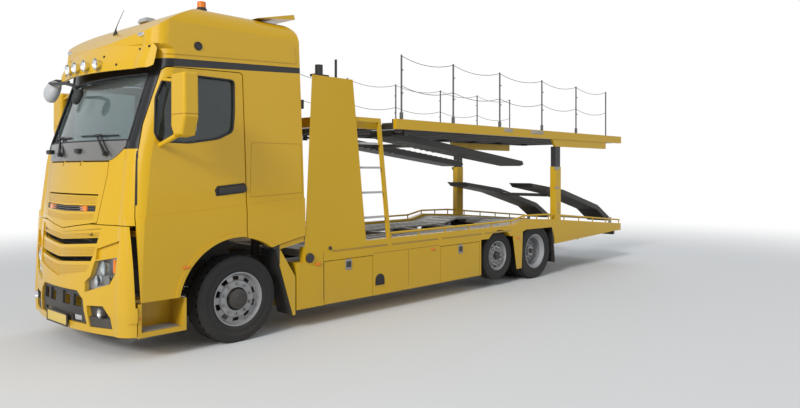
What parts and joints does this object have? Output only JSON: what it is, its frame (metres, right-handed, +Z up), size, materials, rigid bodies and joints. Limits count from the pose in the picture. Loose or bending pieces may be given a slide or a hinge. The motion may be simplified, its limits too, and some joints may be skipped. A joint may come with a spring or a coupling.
{
  "type": "car transporter truck",
  "caption": "Rigid car transporter truck with a high-roof sleeper cab, lockers along the sides, a lower deck, a lifting upper deck with railings and tilting loading tracks.",
  "frame": {"origin": "on the ground under the middle of the truck's length and width", "axes": "+X towards the rear, +Y to the truck's right, +Z up"},
  "size_m": [10.51, 3.3, 3.815],
  "materials": {
    "cab_paint": "gloss yellow paint",
    "body_paint": "satin yellow paint",
    "window_glass": "tinted glass",
    "lamp_lens": "clear moulded lens",
    "lamp_red": "moulded lens",
    "dark_plastic": "grained",
    "interior_plastic": "grained",
    "seat_fabric": "woven",
    "chassis_paint": "satin dark paint",
    "engine_metal": "cast",
    "tyre_rubber": "matt",
    "wheel_steel": "silver paint",
    "deck_steel": "worn dark deck steel",
    "dark_steel": "satin dark paint",
    "galvanised": "zinc",
    "plate_white": "blank plate"
  },
  "bodies": {
    "chassis": {"cab_shell": "cab_paint", "front_bumper": "cab_paint", "roof_panels": "cab_paint", "windscreen": "window_glass", "headlamps": "lamp_lens", "lower_intake": "dark_plastic", "grille": "cab_paint", "entry_steps": "cab_paint", "cab_interior": "interior_plastic", "seats": "seat_fabric", "chassis_frame": "chassis_paint", "engine_block": "engine_metal", "front_axle": "chassis_paint", "drive_axle": "chassis_paint", "pusher_axle": "chassis_paint", "front_mudguards": "dark_plastic", "side_bodies": "body_paint", "deck_edges": "body_paint", "lower_deck": "deck_steel", "rear_mudguards": "body_paint", "towers": "body_paint", "ladder": "body_paint", "tower_fittings": "dark_plastic", "column_sleeves": "body_paint", "tow_coupling": "dark_steel", "tail_lamps": "lamp_red", "number_plate": "plate_white"},
    "knuckle_left": {"knuckle_left": "chassis_paint"},
    "knuckle_right": {"knuckle_right": "chassis_paint"},
    "wheel_front_left": {"tyre_front_left": "tyre_rubber", "rim_front_left": "wheel_steel"},
    "wheel_front_right": {"tyre_front_right": "tyre_rubber", "rim_front_right": "wheel_steel"},
    "wheel_drive_left": {"tyre_drive_left": "tyre_rubber", "rim_drive_left": "wheel_steel"},
    "wheel_drive_right": {"tyre_drive_right": "tyre_rubber", "rim_drive_right": "wheel_steel"},
    "wheel_pusher_left": {"tyre_pusher_left": "tyre_rubber", "rim_pusher_left": "wheel_steel"},
    "wheel_pusher_right": {"tyre_pusher_right": "tyre_rubber", "rim_pusher_right": "wheel_steel"},
    "door_left": {"door_left": "cab_paint", "door_glass_left": "window_glass"},
    "door_right": {"door_right": "cab_paint", "door_glass_right": "window_glass"},
    "front_flap": {"front_flap": "cab_paint"},
    "lid_front_left": {"lid_front_left": "body_paint"},
    "lid_front_right": {"lid_front_right": "body_paint"},
    "lid_rear_left": {"lid_rear_left": "body_paint"},
    "lid_rear_right": {"lid_rear_right": "body_paint"},
    "upper_deck": {"upper_edges": "body_paint", "upper_bearers": "deck_steel", "upper_tracks": "deck_steel", "lift_frame": "body_paint", "lift_posts": "dark_steel", "railing_posts": "galvanised", "railing_wires": "galvanised", "track_hinge": "dark_steel"},
    "inner_tracks": {"inner_tracks": "deck_steel"},
    "rear_platform": {"rear_platform": "deck_steel"}
  },
  "joints": [
    {"name": "steer_left", "type": "hinge", "parent": "chassis", "child": "knuckle_left", "pos_m": [-3.845, -0.85, 0.425], "axis": [0, 0, 1], "range_deg": [-38, 38]},
    {"name": "steer_right", "type": "hinge", "parent": "chassis", "child": "knuckle_right", "pos_m": [-3.845, 0.85, 0.425], "axis": [0, 0, 1], "range_deg": [-38, 38]},
    {"name": "spin_front_left", "type": "hinge", "parent": "knuckle_left", "child": "wheel_front_left", "pos_m": [-3.845, -1.07, 0.478], "axis": [0, -1, 0], "continuous": true},
    {"name": "spin_front_right", "type": "hinge", "parent": "knuckle_right", "child": "wheel_front_right", "pos_m": [-3.845, 1.07, 0.478], "axis": [0, -1, 0], "continuous": true},
    {"name": "spin_pusher_left", "type": "hinge", "parent": "chassis", "child": "wheel_pusher_left", "pos_m": [0.955, -1.09, 0.5], "axis": [0, -1, 0], "continuous": true},
    {"name": "spin_pusher_right", "type": "hinge", "parent": "chassis", "child": "wheel_pusher_right", "pos_m": [0.955, 1.09, 0.5], "axis": [0, -1, 0], "continuous": true},
    {"name": "spin_drive_left", "type": "hinge", "parent": "chassis", "child": "wheel_drive_left", "pos_m": [2.035, -1.07, 0.478], "axis": [0, -1, 0], "continuous": true},
    {"name": "spin_drive_right", "type": "hinge", "parent": "chassis", "child": "wheel_drive_right", "pos_m": [2.035, 1.07, 0.478], "axis": [0, -1, 0], "continuous": true},
    {"name": "door_hinge_left", "type": "hinge", "parent": "chassis", "child": "door_left", "pos_m": [-4.989, -1.242, 1.7], "axis": [0, 0, -1], "range_deg": [0, 70]},
    {"name": "door_hinge_right", "type": "hinge", "parent": "chassis", "child": "door_right", "pos_m": [-4.989, 1.242, 1.7], "axis": [0, 0, 1], "range_deg": [0, 70]},
    {"name": "flap_hinge", "type": "hinge", "parent": "chassis", "child": "front_flap", "pos_m": [-5.089, 0, 1.976], "axis": [0, 1, 0], "range_deg": [0, 80]},
    {"name": "lid_hinge_front_left", "type": "hinge", "parent": "chassis", "child": "lid_front_left", "pos_m": [-2.273, -1.235, 0.257], "axis": [1, 0, 0], "range_deg": [0, 90]},
    {"name": "lid_hinge_rear_left", "type": "hinge", "parent": "chassis", "child": "lid_rear_left", "pos_m": [-0.053, -1.235, 0.257], "axis": [1, 0, 0], "range_deg": [0, 90]},
    {"name": "lid_hinge_front_right", "type": "hinge", "parent": "chassis", "child": "lid_front_right", "pos_m": [-2.273, 1.235, 0.257], "axis": [-1, 0, 0], "range_deg": [0, 90]},
    {"name": "lid_hinge_rear_right", "type": "hinge", "parent": "chassis", "child": "lid_rear_right", "pos_m": [-0.053, 1.235, 0.257], "axis": [-1, 0, 0], "range_deg": [0, 90]},
    {"name": "upper_lift", "type": "slide", "parent": "chassis", "child": "upper_deck", "axis": [0, 0, 1], "range_m": [-0.2, 0.35]},
    {"name": "inner_track_tilt", "type": "hinge", "parent": "upper_deck", "child": "inner_tracks", "pos_m": [-1.145, 0, 2.43], "axis": [0, -1, 0], "range_deg": [-2, 7]},
    {"name": "rear_platform_tilt", "type": "hinge", "parent": "chassis", "child": "rear_platform", "pos_m": [5.145, 0, 0.87], "axis": [0, 1, 0], "range_deg": [-9, 1.5]}
  ],
  "couplings": [
    {"joint": "steer_right", "follows": "steer_left", "ratio": 1}
  ]
}
